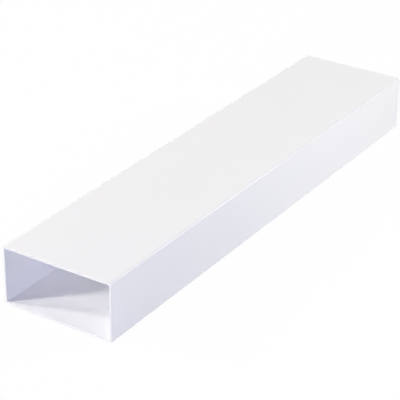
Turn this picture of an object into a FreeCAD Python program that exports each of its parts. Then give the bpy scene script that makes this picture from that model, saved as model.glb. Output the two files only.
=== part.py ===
import FreeCAD, Part
import math
import os
import Sketcher

# Flat channel duct: one length of rigid plastic, extruded as a hollow rectangular section and sawn square
# at both ends. X runs across the wide faces, Y along the airway and Z up. The origin is the middle of the
# underside, so the duct lies on a level floor as it would be stored. All sizes are in millimetres.

SIZES = {
    "duct_width": 110.0,            # outside, across the wide faces
    "duct_height": 55.0,            # outside, from the underside to the top
    "duct_length": 500.0,           # from one sawn end to the other
    "wall_thickness": 2.0,          # the same all round, as the die leaves it
    "outer_corner_radius": 2.0,     # long outside corners
    "inner_corner_radius": 0.5,     # long inside corners
    "end_edge_break": 0.3,          # small chamfer that deburring leaves on the sawn edges
}

ON_PLANE = 1e-6                     # how near to a plane an edge lies in it
DUCT = "duct_channel"


def make_sheet(doc):
    """A spreadsheet with one named cell for each driving size."""
    sheet = doc.addObject("Spreadsheet::Sheet", "Sizes")
    for row, (name, value) in enumerate(SIZES.items(), start=1):
        sheet.set(f"A{row}", name)
        sheet.set(f"B{row}", str(value))
        sheet.setAlias(f"B{row}", name)
    doc.recompute()
    return sheet


def origin_plane(body, role):
    """The body's own origin plane with this role."""
    return next(plane for plane in body.Origin.OriginFeatures if plane.Role == role)


def add_rounded_rectangle(sketch, loop, width, height, floor, radius):
    """Draws one closed loop of the section, centred on the vertical axis with its lower side at floor.

    Its width, height, floor and radius become constraints named after the loop.
    """
    half = width / 2
    roof = floor + height
    # The four corner arcs, anticlockwise from the lower right, and the sides that run between them.
    centres = [
        (half - radius, floor + radius),
        (half - radius, roof - radius),
        (radius - half, roof - radius),
        (radius - half, floor + radius),
    ]
    arcs = []
    for turn, (across, up) in enumerate(centres):
        circle = Part.Circle(FreeCAD.Vector(across, up, 0), FreeCAD.Vector(0, 0, 1), radius)
        start = (turn - 1) * math.pi / 2
        arcs.append(Part.ArcOfCircle(circle, start, start + math.pi / 2))
    sides = [Part.LineSegment(arcs[turn - 1].EndPoint, arcs[turn].StartPoint) for turn in range(4)]
    lower, right, upper, left = [sketch.addGeometry(side) for side in sides]
    corners = [sketch.addGeometry(arc) for arc in arcs]

    for turn, side in enumerate((lower, right, upper, left)):
        sketch.addConstraint(Sketcher.Constraint("Tangent", side, 2, corners[turn], 1))
        sketch.addConstraint(Sketcher.Constraint("Tangent", corners[turn - 1], 2, side, 1))
    for corner in corners[1:]:
        sketch.addConstraint(Sketcher.Constraint("Equal", corners[0], corner))
    sketch.addConstraint(Sketcher.Constraint("Horizontal", upper))
    sketch.addConstraint(Sketcher.Constraint("Vertical", right))
    sketch.addConstraint(Sketcher.Constraint("Vertical", left))
    # Being mirrored about the vertical axis also keeps the lower side level.
    sketch.addConstraint(Sketcher.Constraint("Symmetric", lower, 1, lower, 2, -2))

    named = {
        "width": Sketcher.Constraint("DistanceX", left, 1, right, 1, width),
        "height": Sketcher.Constraint("DistanceY", lower, 1, upper, 1, height),
        "floor": Sketcher.Constraint("DistanceY", -1, 1, lower, 1, floor),
        "radius": Sketcher.Constraint("Radius", corners[0], radius),
    }
    for name, constraint in named.items():
        sketch.renameConstraint(sketch.addConstraint(constraint), f"{loop}_{name}")


def draw_section(body, sheet):
    """The section that the die gives: an outer and an inner rounded rectangle with one wall between them."""
    section = body.newObject("Sketcher::SketchObject", "section")
    section.AttachmentSupport = [(origin_plane(body, "XZ_Plane"), "")]
    section.MapMode = "FlatFace"

    wall = sheet.wall_thickness
    add_rounded_rectangle(
        section, "outer", sheet.duct_width, sheet.duct_height, 0.0, sheet.outer_corner_radius
    )
    add_rounded_rectangle(
        section, "inner", sheet.duct_width - 2 * wall, sheet.duct_height - 2 * wall, wall,
        sheet.inner_corner_radius,
    )

    bindings = {
        "outer_width": "Sizes.duct_width",
        "outer_height": "Sizes.duct_height",
        "outer_radius": "Sizes.outer_corner_radius",
        "inner_width": "Sizes.duct_width - 2 * Sizes.wall_thickness",
        "inner_height": "Sizes.duct_height - 2 * Sizes.wall_thickness",
        "inner_floor": "Sizes.wall_thickness",
        "inner_radius": "Sizes.inner_corner_radius",
    }
    for constraint, expression in bindings.items():
        section.setExpression(f"Constraints.{constraint}", expression)
    return section


def sawn_edges(shape, length):
    """Names of the edges that lie in the two sawn ends, half a length each way from the middle."""
    names = []
    for number, edge in enumerate(shape.Edges, start=1):
        box = edge.BoundBox
        reach = max(abs(box.YMin), abs(box.YMax))
        if box.YLength < ON_PLANE and abs(reach - length / 2) < ON_PLANE:
            names.append(f"Edge{number}")
    return names


def make_duct(doc, sheet):
    """The section extruded both ways from the middle, with the sharp edges of its sawn ends broken."""
    body = doc.addObject("PartDesign::Body", DUCT)
    body.Label = DUCT
    section = draw_section(body, sheet)
    doc.recompute()

    run = body.newObject("PartDesign::Pad", "extruded_run")
    run.Profile = section
    run.SideType = "Symmetric"
    run.setExpression("Length", "Sizes.duct_length")
    doc.recompute()

    deburring = body.newObject("PartDesign::Chamfer", "deburred_ends")
    deburring.Base = (run, sawn_edges(run.Shape, sheet.duct_length))
    deburring.setExpression("Size", "Sizes.end_edge_break")
    doc.recompute()
    return body


def check_document(doc, parts):
    """Stops if any object failed, or if a sub-part is empty, invalid or not one solid."""
    for item in doc.Objects:
        if "Invalid" in item.State or "Error" in item.State:
            raise RuntimeError(f"{item.Name} failed: {item.State}")
    for part in parts:
        shape = part.Shape
        if shape.isNull() or not shape.isValid() or len(shape.Solids) != 1:
            raise RuntimeError(f"{part.Label} is not one valid solid")


doc = FreeCAD.newDocument("flat_channel_duct")
sheet = make_sheet(doc)
parts = [make_duct(doc, sheet)]
doc.recompute()
check_document(doc, parts)

os.makedirs("parts", exist_ok=True)
for part in parts:
    part.Shape.exportStep(f"parts/{part.Label}.step")
    box = part.Shape.BoundBox
    size = f"{box.XLength:.2f} x {box.YLength:.2f} x {box.ZLength:.2f} mm"
    print(f"{part.Label}: {size}, {part.Shape.Volume / 1000:.2f} cubic centimetres")
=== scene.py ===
# %% [markdown]
# # A flat channel duct in white plastic
# This lesson dresses one length of rectangular ventilation duct. The real thing is a rigid plastic tube,
# pushed through a die as one hollow section and sawn square at both ends. Its shape is plain, so what makes
# it look real is small: soft long corners, a wall you can see the thickness of, dull sawn ends and quiet
# studio light. We start from the engineering model, which fixes where everything is and how large it may
# be.

# %% Load the engineering model as a fixed frame
import math

import bmesh
import bpy
import numpy as np
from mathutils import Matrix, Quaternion, Vector


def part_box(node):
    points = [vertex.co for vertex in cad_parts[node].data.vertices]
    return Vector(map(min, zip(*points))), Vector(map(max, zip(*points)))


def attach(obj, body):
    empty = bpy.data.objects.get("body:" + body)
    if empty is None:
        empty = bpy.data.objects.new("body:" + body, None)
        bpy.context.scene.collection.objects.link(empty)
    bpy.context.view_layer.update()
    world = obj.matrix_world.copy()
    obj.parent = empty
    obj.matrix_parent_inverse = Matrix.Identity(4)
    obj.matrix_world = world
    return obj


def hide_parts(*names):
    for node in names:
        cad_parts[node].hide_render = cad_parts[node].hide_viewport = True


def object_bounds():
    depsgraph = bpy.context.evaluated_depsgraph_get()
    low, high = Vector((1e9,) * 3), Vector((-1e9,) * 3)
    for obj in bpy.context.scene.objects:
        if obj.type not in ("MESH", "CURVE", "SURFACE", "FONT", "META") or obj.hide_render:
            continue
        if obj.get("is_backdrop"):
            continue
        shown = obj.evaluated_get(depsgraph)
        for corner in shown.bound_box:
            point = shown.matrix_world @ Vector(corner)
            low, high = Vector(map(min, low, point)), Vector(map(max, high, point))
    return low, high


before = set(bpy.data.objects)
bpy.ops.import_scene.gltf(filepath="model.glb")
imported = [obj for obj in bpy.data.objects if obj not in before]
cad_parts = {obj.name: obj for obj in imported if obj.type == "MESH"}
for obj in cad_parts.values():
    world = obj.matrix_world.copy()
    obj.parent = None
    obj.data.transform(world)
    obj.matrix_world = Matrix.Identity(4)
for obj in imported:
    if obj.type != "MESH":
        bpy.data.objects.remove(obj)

cad_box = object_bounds()
duct_low, duct_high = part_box("duct_channel")
print("nodes:", sorted(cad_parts), "box:", [tuple(round(c, 4) for c in corner) for corner in cad_box])

# %% [markdown]
# ## Sizes of the section
# The outside of the duct comes from the frame, so its size in the picture can't disagree with the model.
# The model's origin is the middle of the underside, so heights start from zero. The wall, the corner radii
# and the tiny rounding that a deburring knife leaves on the sawn edges are written here in metres. A die
# never gives perfectly flat faces: the walls draw in a little between the corners as the plastic cools,
# less than the thickness of a fingernail, and only inwards, so the duct still fits its box.

# %% Name the sizes
WIDTH = duct_high.x - duct_low.x
LENGTH = duct_high.y - duct_low.y
HEIGHT = duct_high.z - duct_low.z
WALL = 0.0020
OUTER_RADIUS = 0.0020
INNER_RADIUS = 0.0005
ARRIS = 0.0003
WIDE_SINK = 0.00018
NARROW_SINK = 0.00008
print(f"duct {WIDTH * 1000:.0f} x {HEIGHT * 1000:.0f} x {LENGTH * 1000:.0f} mm, wall {WALL * 1000:.1f} mm")

# %% [markdown]
# ## The section as a function
# We could bevel a cube, but then the corner radius, the wall and the sawn edges would be three separate
# steps. Instead one formula gives the section at any depth in the wall: at depth zero it is the outside
# loop, at the full wall it is the inside loop, and the loops between them fill the sawn end. Every loop has
# the same number of points, so loops can be joined point by point. Points crowd towards the corners by a
# cosine rule, which keeps the smooth shading of the small round corners from leaking over the broad flat
# faces.

# %% Work out loops of the section
CORNER_STEPS = 8
SIDE_STEPS = 24


def crowded(steps):
    """Numbers from 0 to 1 in this many steps, closer together near both ends: half of one minus a cosine."""
    return 0.5 - 0.5 * np.cos(np.pi * np.arange(steps + 1) / steps)


def section_loops(depth):
    """Rounded rectangles at these depths in the wall, as an array of depth by point by (across, up).

    Each corner is an arc about its own centre. Its radius runs from the outer to the inner one with depth.
    Each side is the straight run to the next arc, drawn in by its sink times 4t(1 - t) along the run.
    """
    depth = np.asarray(depth)[:, None, None]
    radius = OUTER_RADIUS + (INNER_RADIUS - OUTER_RADIUS) * depth / WALL
    turn = (np.arange(4)[:, None] - 1 + np.linspace(0, 1, CORNER_STEPS + 1)) * np.pi / 2
    across_sign = np.array([1, 1, -1, -1])[:, None]
    up_sign = np.array([-1, 1, 1, -1])[:, None]
    arc_across = across_sign * (WIDTH / 2 - depth - radius) + radius * np.cos(turn)
    arc_up = HEIGHT / 2 + up_sign * (HEIGHT / 2 - depth - radius) + radius * np.sin(turn)
    arcs = np.stack([arc_across, arc_up], axis=-1)

    along = crowded(SIDE_STEPS)[1:-1, None]
    start = arcs[:, :, -1:, :]
    finish = np.roll(arcs, -1, axis=1)[:, :, :1, :]
    inward = np.array([[-1, 0], [0, -1], [1, 0], [0, 1]])[:, None, :]
    sink = np.array([NARROW_SINK, WIDE_SINK, NARROW_SINK, WIDE_SINK])[:, None, None]
    sides = start + (finish - start) * along + inward * sink * 4 * along * (1 - along)
    return np.concatenate([arcs, sides], axis=2).reshape(len(depth), -1, 2)


loops = section_loops([0.0, WALL])
print(f"section: {loops.shape[1]} points a loop, inside {np.ptp(loops[1], axis=0).round(4)} m")

# %% [markdown]
# ## The trip round the wall
# Now imagine walking lengthwise: along the outside to the far end, over the sawn rim, back along the inside
# and over the near rim to where we began. That closed walk is a path of two numbers, the depth in the wall
# and the place along the duct. The sawn edges are quarter circles, so they catch a thin line of light as
# real ones do.

# %% Work out the walk
RUN_STEPS = 60
ARRIS_STEPS = 4
RIM_STEPS = 6


def wall_walk():
    """Depths and places along the duct, once round the wall, without repeating the first point.

    One end is a quarter circle in from the outside, a straight rim and a quarter circle out to the inside.
    The other end is the same walk backwards with its place along the duct negated.
    """
    quarter = np.linspace(0, np.pi / 2, ARRIS_STEPS + 1)
    rim = crowded(RIM_STEPS)[1:-1]
    depth = np.concatenate([
        ARRIS * (1 - np.cos(quarter)),
        ARRIS + (WALL - 2 * ARRIS) * rim,
        WALL - ARRIS * (1 - np.sin(quarter)),
    ])
    short = np.concatenate([
        ARRIS * (1 - np.sin(quarter)),
        0 * rim,
        ARRIS * (1 - np.cos(quarter)),
    ])
    far = LENGTH / 2 - short
    run = (2 * crowded(RUN_STEPS)[1:-1] - 1) * (LENGTH / 2 - ARRIS)
    depths = np.concatenate([0 * run, depth, WALL + 0 * run, depth[::-1]])
    places = np.concatenate([run, far, -run, -far[::-1]])
    return depths, places


depths, places = wall_walk()
print(f"walk: {len(depths)} stations, from {places.min():.3f} to {places.max():.3f} m")

# %% [markdown]
# ## One closed mesh
# Carrying the section along the walk gives a grid that closes on itself both ways, like a ring, so it has
# no seam, no pole and no cap. Whole arrays make the points and the faces, with no loop over vertices.
# Alongside each point we store whether it is on a sawn end and whether it is on a long corner, because the
# finish differs there. A closed mesh whose faces all look outward has a positive volume, so we measure that
# too.

# %% Put the surface into a mesh


def closed_grid_faces(stations, points):
    """Four-sided faces of a grid that wraps both ways, as four point numbers each.

    A face goes from its point to the next station, then to the next point and back. That order turns it
    outward, because the loops run anticlockwise as seen from in front.
    """
    number = np.arange(stations * points).reshape(stations, points)
    next_point = np.roll(number, -1, axis=1)
    next_station = np.roll(number, -1, axis=0)
    beyond = np.roll(next_station, -1, axis=1)
    return np.stack([number, next_station, beyond, next_point], axis=-1).reshape(-1, 4)


def mesh_from_arrays(name, points, faces, attributes):
    """A smooth mesh of these points and four-sided faces, with one number a point for each attribute."""
    mesh = bpy.data.meshes.new(name)
    mesh.vertices.add(len(points))
    mesh.vertices.foreach_set("co", points.astype(np.float32).ravel())
    mesh.loops.add(faces.size)
    mesh.loops.foreach_set("vertex_index", faces.astype(np.int32).ravel())
    mesh.polygons.add(len(faces))
    mesh.polygons.foreach_set("loop_start", np.arange(0, faces.size, 4, dtype=np.int32))
    mesh.polygons.foreach_set("use_smooth", np.ones(len(faces), dtype=bool))
    for title, numbers in attributes.items():
        layer = mesh.attributes.new(title, "FLOAT", "POINT")
        layer.data.foreach_set("value", numbers.astype(np.float32))
    mesh.update(calc_edges=True)
    mesh.validate()
    return mesh


loops = section_loops(depths)
stations, points_a_loop = loops.shape[:2]
along = np.repeat(places[:, None], points_a_loop, axis=1)
duct_points = np.stack([loops[..., 0], along, loops[..., 1]], axis=-1).reshape(-1, 3)
duct_faces = closed_grid_faces(stations, points_a_loop)
sawn = np.repeat(np.abs(places) > LENGTH / 2 - ARRIS / 2, points_a_loop)
one_corner = np.concatenate([np.ones(CORNER_STEPS + 1), np.zeros(SIDE_STEPS - 1)])
corner = np.tile(one_corner, 4 * stations)
duct_mesh = mesh_from_arrays("duct_shell", duct_points, duct_faces, {"sawn": sawn, "corner": corner})
duct = bpy.data.objects.new("duct_shell", duct_mesh)
bpy.context.scene.collection.objects.link(duct)
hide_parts("duct_channel")
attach(duct, "root")

measured = bmesh.new()
measured.from_mesh(duct_mesh)
volume = measured.calc_volume(signed=True)
measured.free()
print(f"duct_shell: {len(duct_points)} points, {len(duct_faces)} faces, {volume * 1e6:.1f} cubic centimetres")

# %% [markdown]
# ## Shader arithmetic in Python
# Procedural finishes are mostly arithmetic: a noise times a strength, one minus a mask. Wiring that by hand
# hides the formula, so this small class wraps a node's output and lets Python's own operators add the Math
# nodes. Every other node comes from its one method, which sets the node's settings first and then its
# sockets.

# %% Wrap a socket


class Wire:
    """An output socket of a node tree. Arithmetic on it adds Math nodes, and node() adds any other node."""

    def __init__(self, tree, socket=None):
        self.tree = tree
        self.socket = socket

    def node(self, kind, settings=None, sockets=None, output=0):
        """Adds a node of this kind and gives one of its outputs, by name or number."""
        made = self.tree.nodes.new(kind)
        for name, setting in (settings or {}).items():
            setattr(made, name, setting)
        for name, value in (sockets or {}).items():
            if isinstance(value, Wire):
                self.tree.links.new(value.socket, made.inputs[name])
            else:
                made.inputs[name].default_value = value
        return Wire(self.tree, made.outputs[output] if len(made.outputs) else None)

    def math(self, operation, first, second):
        return self.node("ShaderNodeMath", {"operation": operation}, {0: first, 1: second})

    def __add__(self, other):
        return self.math("ADD", self, other)

    def __radd__(self, other):
        return self.math("ADD", other, self)

    def __sub__(self, other):
        return self.math("SUBTRACT", self, other)

    def __rsub__(self, other):
        return self.math("SUBTRACT", other, self)

    def __mul__(self, other):
        return self.math("MULTIPLY", self, other)

    def __rmul__(self, other):
        return self.math("MULTIPLY", other, self)


def new_finish(name):
    """An empty material, and a wire to build its nodes from."""
    material = bpy.data.materials.new(name)
    material.use_nodes = True
    material.node_tree.nodes.clear()
    return material, Wire(material.node_tree)


print("shader arithmetic ready")

# %% [markdown]
# ## Patterns to draw the finish with
# Two helpers are enough for this duct. Noise that is stretched far along one axis turns into lines along
# it, so one helper gives both clouds and drawn lines, on all four walls at once. The other blends two
# colours.

# %% Make the pattern helpers


def noise(wire, place, lumps_a_metre, stretch=(1, 1, 1), detail=3.0):
    """Soft noise between 0 and 1 at this many lumps a metre, times the three factors along X, Y and Z."""
    stretched = wire.node("ShaderNodeMapping", {"vector_type": "POINT"}, {"Vector": place, "Scale": stretch})
    return wire.node("ShaderNodeTexNoise", {"noise_dimensions": "3D"},
                     {"Vector": stretched, "Scale": lumps_a_metre, "Detail": detail}, "Fac")


def between(wire, share, first, second):
    """The first colour where the share is 0, the second where it is 1, and a mix of them between."""
    return wire.node("ShaderNodeMix", {"data_type": "RGBA"},
                     {"Factor": share, "A": first, "B": second}, "Result")


print("patterns ready: noise, between")

# %% [markdown]
# ## White extruded plastic
# Rigid white plastic is nearly flat in colour, but not quite. The die draws faint lines along the duct, the
# skin has a slight pebble, and the gloss drifts from place to place. The sawn ends are greyer and duller
# than the skin, with the fine tooth marks of the blade, and part of that grey is painted shade: the tiny
# shadows of the rough cut, painted into the colour. We also make the long corners glossier than the faces,
# so that they can catch a line of light while the broad top stays calm. All of it stays small: this duct
# is new and clean. We could paint each of these on its own, but they share a few noises, so one material
# mixes them by the masks of the corners and the sawn ends.

# %% Make the plastic
PLASTIC_COLOUR = (0.925, 0.922, 0.928, 1)
SHADE_COLOUR = (0.908, 0.906, 0.915, 1)
# The sawn grey is partly the cut's own colour and partly painted shade for the rough cut's tiny shadows.
SAWN_GREY_AND_SHADE_COLOUR = (0.72, 0.715, 0.70, 1)
TOOTH_COLOUR = (0.64, 0.635, 0.62, 1)
SKIN_ROUGHNESS = 0.36
CORNER_POLISH = 0.22
SAWN_ROUGHNESS = 0.54
GLOSS_DRIFT = 0.08
STREAK_DRIFT = 0.05
TOOTH_DRIFT = 0.16
PLASTIC_IOR = 1.53
CLOUD_SHARE = 0.6
STREAK_SHARE = 0.4
DIE_LINES_A_METRE = 700
STREAKS_A_METRE = 90
CLOUDS_A_METRE = 14
PEBBLES_A_METRE = 2600
TOOTH_MARKS_A_METRE = 260
DRAWN_LONG = (1, 0.004, 1)
DRAWN_SHORT = (1, 0.03, 1)
SAWN_ACROSS = (0.12, 1, 6)
RELIEF_STRENGTH = 0.6
RELIEF_UNIT = 0.00001
DIE_LINE_HEIGHT = 11.0
PEBBLE_HEIGHT = 0.8
TOOTH_HEIGHT = 9.0


def white_plastic():
    """Skin with die lines, a pebble and glossier corners; dull, tooth-marked sawn ends, grey partly by
    painted shade.
    """
    material, wire = new_finish("white_plastic")
    place = wire.node("ShaderNodeTexCoord", output="Object")
    sawn_end = wire.node("ShaderNodeAttribute", {"attribute_name": "sawn"}, output="Fac")
    corner = wire.node("ShaderNodeAttribute", {"attribute_name": "corner"}, output="Fac")
    die_lines = noise(wire, place, DIE_LINES_A_METRE, DRAWN_LONG)
    streaks = noise(wire, place, STREAKS_A_METRE, DRAWN_SHORT)
    clouds = noise(wire, place, CLOUDS_A_METRE)
    pebble = noise(wire, place, PEBBLES_A_METRE, detail=1.0)
    tooth_marks = noise(wire, place, TOOTH_MARKS_A_METRE, SAWN_ACROSS)

    shade = CLOUD_SHARE * clouds + STREAK_SHARE * streaks
    skin_colour = between(wire, shade, PLASTIC_COLOUR, SHADE_COLOUR)
    # Painted shade: the sawn end's colour is darkened for the small shadows of the rough cut.
    end_grey_and_shade = between(wire, tooth_marks, SAWN_GREY_AND_SHADE_COLOUR, TOOTH_COLOUR)
    colour = between(wire, sawn_end, skin_colour, end_grey_and_shade)
    skin = 1 - sawn_end
    skin_roughness = SKIN_ROUGHNESS + GLOSS_DRIFT * clouds + STREAK_DRIFT * streaks - CORNER_POLISH * corner
    end_roughness = SAWN_ROUGHNESS + TOOTH_DRIFT * tooth_marks
    roughness = skin * skin_roughness + sawn_end * end_roughness
    relief = (skin * (DIE_LINE_HEIGHT * die_lines + PEBBLE_HEIGHT * pebble)
              + sawn_end * TOOTH_HEIGHT * tooth_marks)
    normal = wire.node("ShaderNodeBump", None,
                       {"Strength": RELIEF_STRENGTH, "Distance": RELIEF_UNIT, "Height": relief}, "Normal")
    surface = wire.node("ShaderNodeBsdfPrincipled", None,
                        {"Base Color": colour, "Roughness": roughness, "IOR": PLASTIC_IOR, "Normal": normal})
    wire.node("ShaderNodeOutputMaterial", None, {"Surface": surface})
    return material


duct_mesh.materials.append(white_plastic())
print("plastic nodes:", len(duct_mesh.materials[0].node_tree.nodes))

# %% [markdown]
# ## A white sweep to lie on
# The duct lies on white card that runs out of the picture. If the card were lit until it turned white, the
# duct would burn out with it. So the camera, and any reflection, sees the card mostly as plain white of
# strength one, with a small share of its true shading, so that a trace of the duct's shadow stays. Light
# that bounces meets a quieter grey card instead, so that the floor does not fill in the shaded faces.

# %% Lay the floor
FLOOR_SIZE = 12.0
FLOOR_DROP = 0.0001
BOUNCE_COLOUR = (0.45, 0.45, 0.45, 1)
CARD_COLOUR = (0.95, 0.95, 0.95, 1)
WHITE = (1, 1, 1, 1)
SHOWN_WHITE = 0.97


def shown_directly(wire):
    """One for rays from the camera, off a glossy surface or through a clear one, and zero for bounces."""
    path = wire.node("ShaderNodeLightPath", output="Is Camera Ray")
    outputs = path.socket.node.outputs
    glossy = Wire(wire.tree, outputs["Is Glossy Ray"])
    through = Wire(wire.tree, outputs["Is Transmission Ray"])
    return wire.math("MAXIMUM", wire.math("MAXIMUM", path, glossy), through)


def white_card():
    """Plain white with a share of the card's true shading where it is seen, and a grey card for bounces."""
    material, wire = new_finish("white_card")
    card = wire.node("ShaderNodeBsdfDiffuse", None, {"Color": CARD_COLOUR})
    white = wire.node("ShaderNodeEmission", None, {"Color": WHITE, "Strength": 1.0})
    seen = wire.node("ShaderNodeMixShader", None, {0: SHOWN_WHITE, 1: card, 2: white})
    bounce = wire.node("ShaderNodeBsdfDiffuse", None, {"Color": BOUNCE_COLOUR})
    surface = wire.node("ShaderNodeMixShader", None, {0: shown_directly(wire), 1: bounce, 2: seen})
    wire.node("ShaderNodeOutputMaterial", None, {"Surface": surface})
    return material


half = FLOOR_SIZE / 2
corners = np.array([[-half, -half], [half, -half], [half, half], [-half, half]])
floor_points = np.column_stack([corners, np.full(4, duct_low.z - FLOOR_DROP)])
floor_mesh = mesh_from_arrays("floor", floor_points, np.array([[0, 1, 2, 3]]), {})
floor_mesh.materials.append(white_card())
floor = bpy.data.objects.new("floor", floor_mesh)
bpy.context.scene.collection.objects.link(floor)
floor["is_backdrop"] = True
print(f"floor {FLOOR_SIZE:.0f} m square")

# %% [markdown]
# ## A soft lamp
# An area lamp is the studio's softbox. Placing one by hand means juggling a position, a turn and a power
# that changes with distance, so this helper takes what a photographer would say instead: which way it
# stands, how high, how far off and how bright it makes a white face.

# %% Make the lamp helper


def soft_lamp(name, aim, bearing, height, distance, size, level, colour, glint=False):
    """A square lamp that looks at aim and lights a white face turned to it to this level of its own colour.

    Its bearing is in degrees clockwise from straight in front of the mouth, as seen from above, and its
    height in degrees above the level. A lamp fills, and stays out of the gloss, or it draws only a glint.
    """
    turn, rise = math.radians(bearing), math.radians(height)
    away = Vector((-math.sin(turn) * math.cos(rise), -math.cos(turn) * math.cos(rise), math.sin(rise)))
    lamp = bpy.data.lights.new(name, "AREA")
    lamp.shape = "SQUARE"
    lamp.size = size
    lamp.color = colour
    # A white face turned to a small lamp is as bright as its power over pi squared and the distance squared.
    lamp.energy = level * math.pi ** 2 * distance ** 2
    stand = bpy.data.objects.new(name, lamp)
    stand.location = aim + away * distance
    stand.rotation_mode = "QUATERNION"
    stand.rotation_quaternion = away.to_track_quat("Z", "Y")
    stand.visible_camera = False
    stand.visible_diffuse = not glint
    stand.visible_glossy = glint
    bpy.context.scene.collection.objects.link(stand)
    print(f"{name}: level {level} from bearing {bearing}, height {height}")


MOUTH = Vector((0, duct_low.y, HEIGHT / 2))
MIDDLE = Vector((0, 0, HEIGHT / 2))
print("lamps look at the mouth or the middle:", tuple(MOUTH), tuple(MIDDLE))

# %% [markdown]
# ## Light into the mouth
# Two lamps at the left shine into the mouth, and the edge of the left wall throws two shadows across the
# floor of the airway from the same corner. A low wide lamp in front and a cool one beside it fill the
# mouth, and one behind shines in through the far end. We could let every lamp show in the gloss, but then
# the top would burn out whenever we looked against one, so these lamps only fill.

# %% Set the lamps for the mouth
soft_lamp("front_left_lamp", MOUTH, bearing=46, height=29, distance=3.0, size=0.34,
          level=0.67, colour=(1.0, 0.985, 0.93))
soft_lamp("left_lamp", MOUTH, bearing=72, height=27, distance=3.0, size=0.22,
          level=0.43, colour=(1.0, 0.965, 0.87))
soft_lamp("front_lamp", MOUTH, bearing=349, height=3, distance=8.0, size=2.6,
          level=0.74, colour=(0.95, 0.95, 0.97))
soft_lamp("front_right_lamp", MOUTH, bearing=325, height=9, distance=1.2, size=0.3,
          level=0.32, colour=(0.45, 0.52, 1.0))
soft_lamp("back_lamp", MIDDLE, bearing=177, height=6, distance=8.0, size=1.6,
          level=1.05, colour=(1.0, 1.0, 0.96))

# %% [markdown]
# ## Light on the outside
# A white box shows its shape only by small differences between its faces. A lamp beside the duct and one
# behind it to the right make the side brighten along its length, and a faint lamp overhead lifts the top.
# The last lamp does the opposite of filling. It shows only in the gloss, from a place where the round long
# corner throws it at the camera, and so draws the thin bright line that tells the eye the corner is round.

# %% Set the lamps for the outside
soft_lamp("side_lamp", MIDDLE, bearing=256, height=8, distance=0.4, size=0.3,
          level=0.17, colour=(0.94, 1.0, 0.92))
soft_lamp("back_right_lamp", MIDDLE, bearing=227, height=22, distance=2.2, size=0.6,
          level=0.62, colour=(1.0, 0.98, 0.93))
soft_lamp("top_lamp", MOUTH, bearing=60, height=75, distance=1.2, size=0.6,
          level=0.06, colour=(1.0, 0.98, 0.93))
soft_lamp("corner_lamp", MIDDLE, bearing=214, height=41, distance=2.2, size=0.9,
          level=0.36, colour=(1.0, 1.0, 1.0), glint=True)

# %% [markdown]
# ## The room
# The room is a faint cool glow, which helps the cool lamp to keep the shaded inside of the duct a little
# blue. The camera and the gloss see it as plain white, like the floor. White walls hand light on many
# times, so light may bounce more often here than Blender lets it by itself.

# %% Light the room
ROOM_COLOUR = (0.48, 0.48, 1.0, 1)
ROOM_STRENGTH = 0.08
WHITE_BOUNCES = 12

world = bpy.data.worlds.new("studio")
world.use_nodes = True
world.node_tree.nodes.clear()
room = Wire(world.node_tree)
direct = shown_directly(room)
glow = room.node("ShaderNodeBackground", None, {"Color": ROOM_COLOUR, "Strength": ROOM_STRENGTH})
white = room.node("ShaderNodeBackground", None, {"Color": WHITE, "Strength": 1.0})
seen = room.node("ShaderNodeMixShader", None, {0: direct, 1: glow, 2: white})
room.node("ShaderNodeOutputWorld", None, {"Surface": seen})
bpy.context.scene.world = world
bpy.context.scene.view_settings.view_transform = "Standard"
bpy.context.scene.cycles.diffuse_bounces = WHITE_BOUNCES
print(f"room strength {ROOM_STRENGTH}, {WHITE_BOUNCES} bounces")

# %% [markdown]
# ## The camera
# The long edges of the duct close in slowly towards the far end, which means a long lens from well back.
# The numbers below came from fitting a camera to the straight edges: how far it stands to the right of the
# mouth, how high it looks down from, and a slight tilt of the horizon.

# %% Stand the camera
PICTURE_SIDE = 400
FOCAL_PIXELS = 1560.4
SENSOR = 36.0
CAMERA_BEARING = 32.98
CAMERA_HEIGHT = 27.47
CAMERA_ROLL = 0.612
CAMERA_DISTANCE = 1.4107
CAMERA_AIM = Vector((0.0054, -0.0466, 0.0275))

lens = bpy.data.cameras.new("camera")
lens.sensor_width = SENSOR
lens.lens = FOCAL_PIXELS / PICTURE_SIDE * SENSOR
turn, rise = math.radians(CAMERA_BEARING), math.radians(CAMERA_HEIGHT)
look = Vector((-math.sin(turn) * math.cos(rise), math.cos(turn) * math.cos(rise), -math.sin(rise)))
camera = bpy.data.objects.new("camera", lens)
camera.location = CAMERA_AIM - look * CAMERA_DISTANCE
camera.rotation_mode = "QUATERNION"
tilt = Quaternion((0, 0, 1), math.radians(CAMERA_ROLL))
camera.rotation_quaternion = look.to_track_quat("-Z", "Y") @ tilt
bpy.context.scene.collection.objects.link(camera)
bpy.context.scene.camera = camera
print(f"lens {lens.lens:.1f} mm at {tuple(round(c, 3) for c in camera.location)}")

# %% [markdown]
# ## Measure and finish
# The last step prints the dressed duct's box beside the engineering model's box. They should agree, because
# dressing an object never changes its size.

# %% Print the boxes and finish
boxes = {"cad": cad_box, "visual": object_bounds()}
for name, box in boxes.items():
    print(f"{name} box:", [tuple(round(c, 5) for c in corner) for corner in box])
